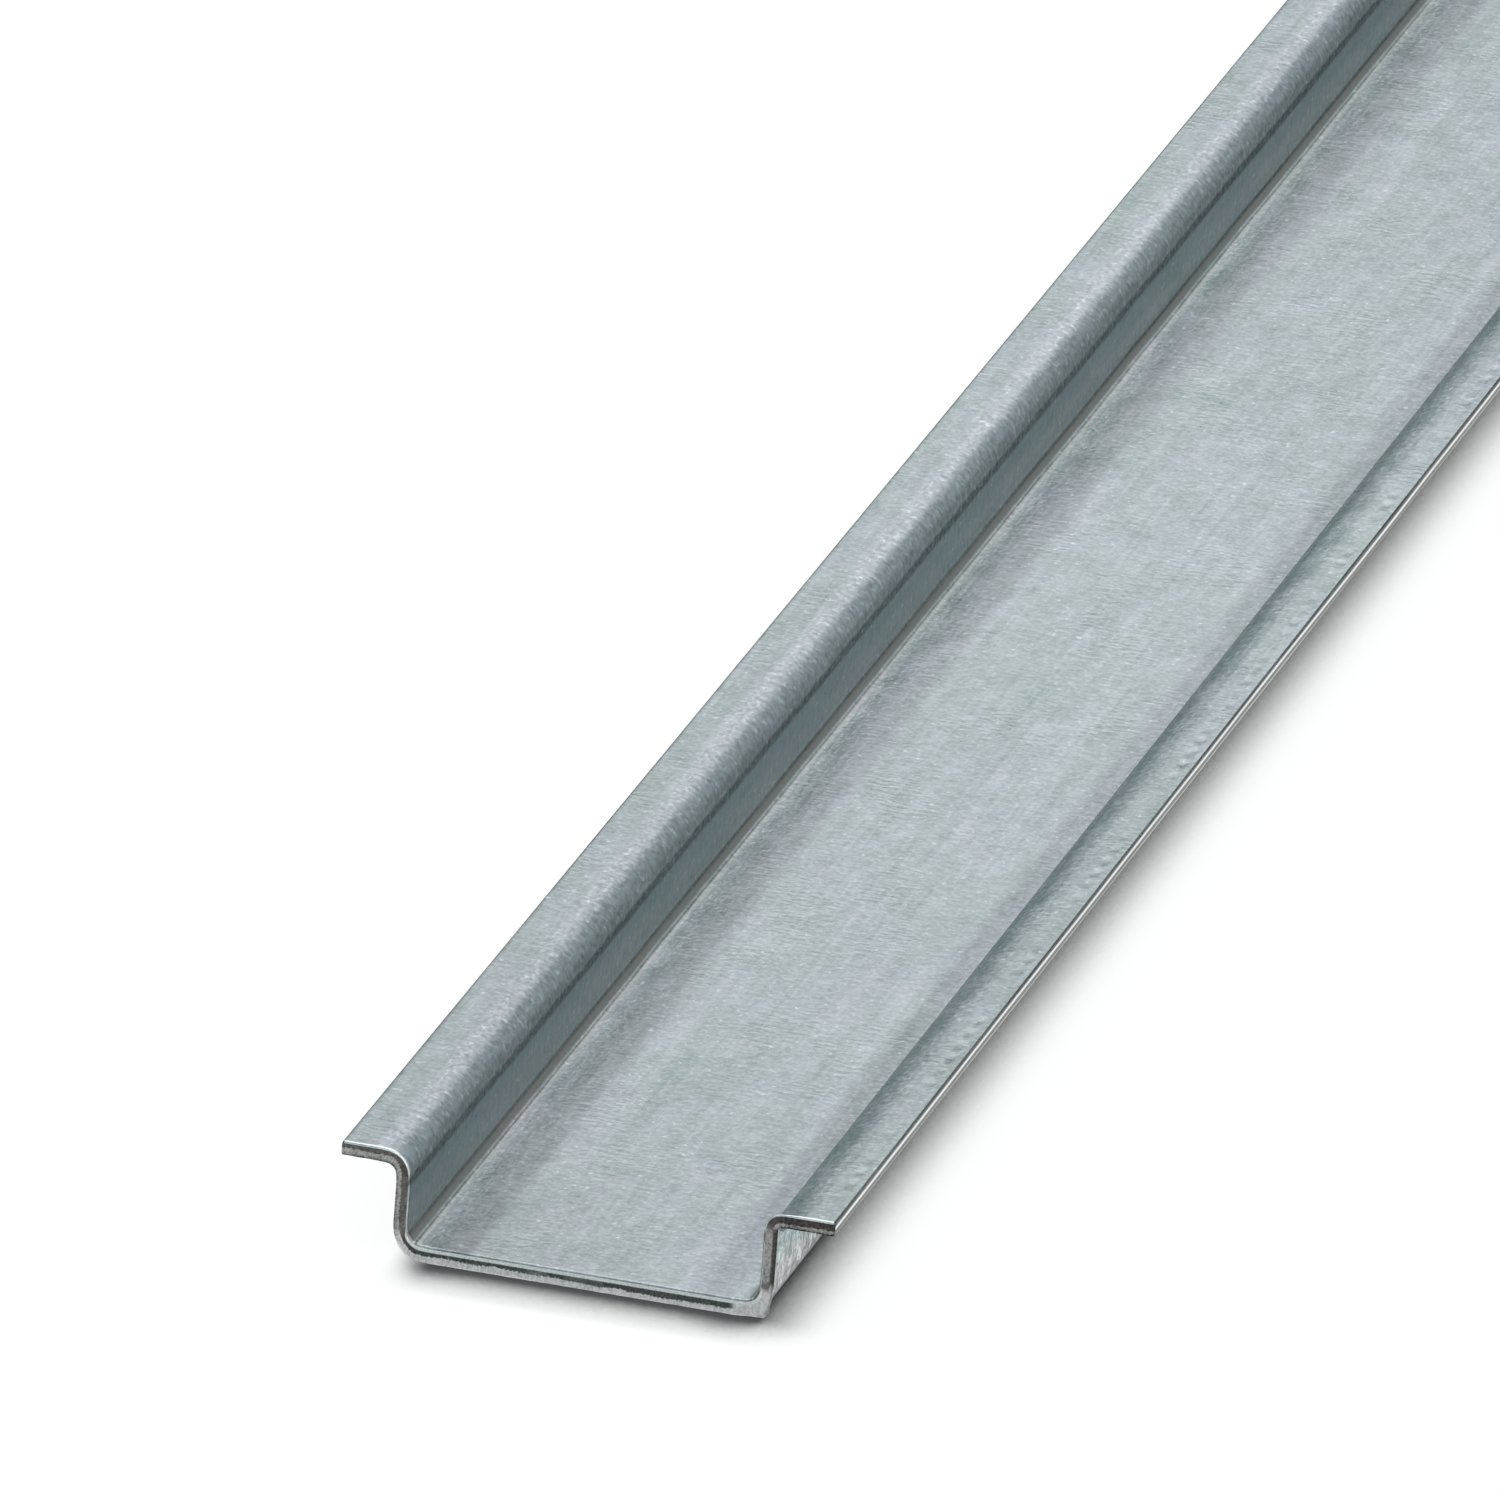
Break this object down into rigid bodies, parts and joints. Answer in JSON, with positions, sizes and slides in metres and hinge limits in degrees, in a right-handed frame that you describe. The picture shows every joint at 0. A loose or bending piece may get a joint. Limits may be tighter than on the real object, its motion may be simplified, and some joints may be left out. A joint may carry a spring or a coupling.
{
  "type": "din rail",
  "caption": "Unperforated top-hat mounting rail, roll-formed from zinc-coated steel strip, that electrical devices clip onto.",
  "frame": {"origin": "centre of the back of the web, at the middle of the length", "axes": "+Z out of the open side, towards the clipped devices; +Y along the length; +X across the flanges"},
  "size_m": [0.035, 1, 0.0075],
  "materials": {
    "zinc_coated_steel": "matt grey zinc coating with fine rolling grain; bare sheared steel at both cut ends"
  },
  "bodies": {
    "root": {"rail": "zinc_coated_steel"}
  },
  "joints": []
}
